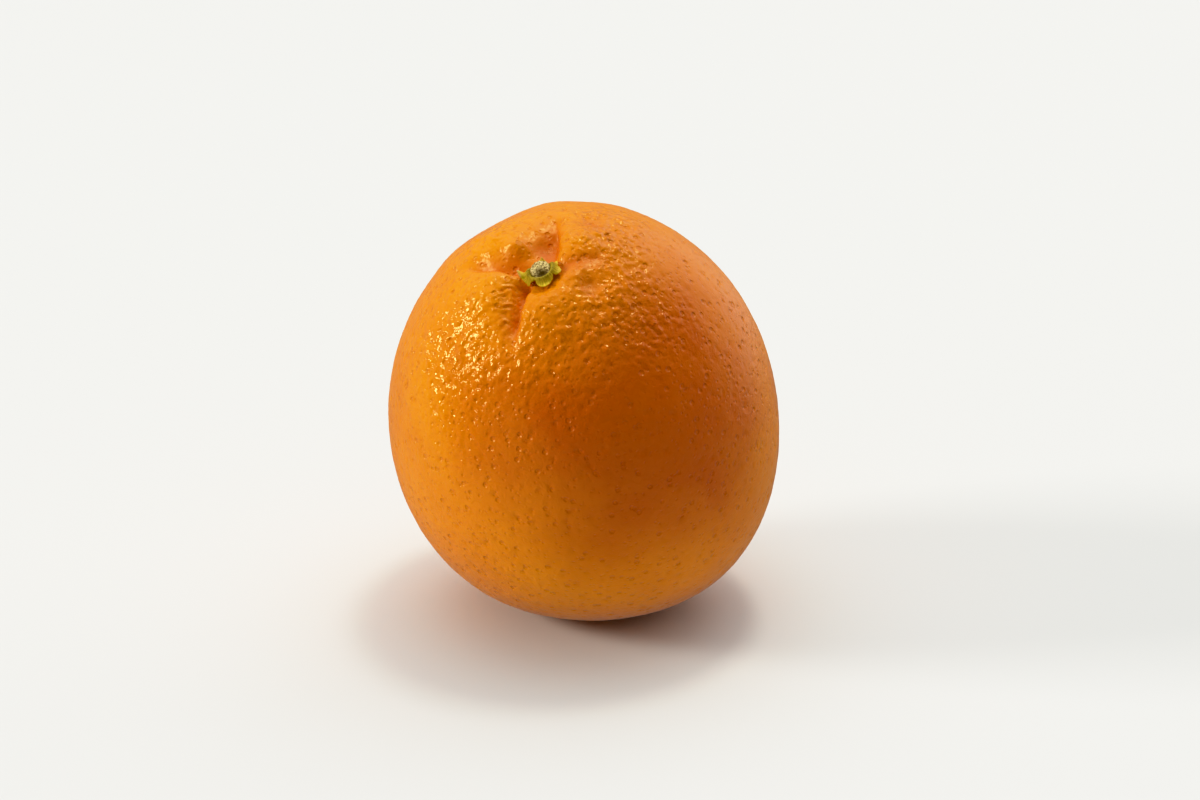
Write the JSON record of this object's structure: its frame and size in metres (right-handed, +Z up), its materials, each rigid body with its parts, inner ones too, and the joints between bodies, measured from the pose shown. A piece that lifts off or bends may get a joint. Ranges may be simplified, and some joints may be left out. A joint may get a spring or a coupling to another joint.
{
  "type": "orange",
  "caption": "Whole fresh orange, slightly egg-shaped, with creased stem end, dried calyx and stem stub, resting on a small flat spot.",
  "frame": {"origin": "middle of the flat spot that the fruit rests on", "axes": "+Z up, -Y towards the front, where the stem end leans with its top to the front and a little to the left (-X)"},
  "size_m": [0.0776, 0.0763, 0.083],
  "materials": {
    "peel": "waxy orange citrus peel, semi-gloss, pitted with oil glands",
    "sepal": "dried green sepal, matt, paler at its edges",
    "stem_bark": "cut green woody stem, matt"
  },
  "bodies": {
    "root": {"fruit": "peel", "calyx": "sepal", "stem_stub": "stem_bark"}
  },
  "joints": []
}
